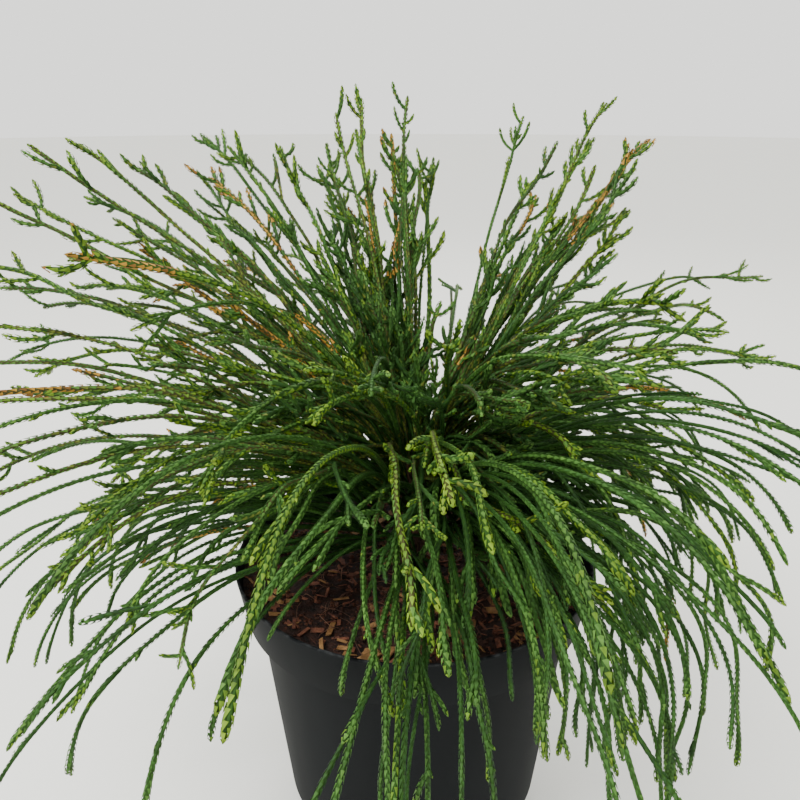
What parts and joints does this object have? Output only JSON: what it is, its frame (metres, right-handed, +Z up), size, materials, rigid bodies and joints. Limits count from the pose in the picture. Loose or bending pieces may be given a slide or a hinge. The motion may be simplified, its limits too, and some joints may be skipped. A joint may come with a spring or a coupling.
{
  "type": "potted whipcord conifer",
  "caption": "Dwarf whipcord conifer with arching and drooping cord-like green shoots, in a dark round nursery pot filled with bark mix.",
  "frame": {"origin": "centre of the pot's flat underside, at the level of the surface it stands on", "axes": "+Z up along the pot's axis, +Y towards the plant's back, +X to its right seen from the front"},
  "size_m": [0.478, 0.4701, 0.4011],
  "materials": {
    "pot_plastic": "satin dark grey moulded plastic",
    "potting_mix": "loose dark bark and fibre mix with paler chips",
    "bark": "rough brown bark",
    "foliage": "satin green scale leaves, some bronze"
  },
  "bodies": {
    "root": {"pot": "pot_plastic", "potting_mix": "potting_mix", "trunk": "bark", "bough_low_1": "bark", "bough_low_2": "bark", "bough_low_3": "bark", "bough_low_4": "bark", "bough_low_5": "bark", "bough_low_6": "bark", "bough_low_7": "bark", "bough_low_8": "bark", "shoots_low_1": "foliage", "shoots_low_2": "foliage", "shoots_low_3": "foliage", "shoots_low_4": "foliage", "shoots_low_5": "foliage", "shoots_low_6": "foliage", "shoots_low_7": "foliage", "shoots_low_8": "foliage", "bough_mid_1": "bark", "bough_mid_2": "bark", "bough_mid_3": "bark", "bough_mid_4": "bark", "bough_mid_5": "bark", "bough_mid_6": "bark", "bough_mid_7": "bark", "bough_mid_8": "bark", "shoots_mid_1": "foliage", "shoots_mid_2": "foliage", "shoots_mid_3": "foliage", "shoots_mid_4": "foliage", "shoots_mid_5": "foliage", "shoots_mid_6": "foliage", "shoots_mid_7": "foliage", "shoots_mid_8": "foliage", "bough_top_1": "bark", "bough_top_2": "bark", "bough_top_3": "bark", "bough_top_4": "bark", "bough_top_5": "bark", "bough_top_6": "bark", "bough_top_7": "bark", "shoots_top_1": "foliage", "shoots_top_2": "foliage", "shoots_top_3": "foliage", "shoots_top_4": "foliage", "shoots_top_5": "foliage", "shoots_top_6": "foliage", "shoots_top_7": "foliage"}
  },
  "joints": []
}
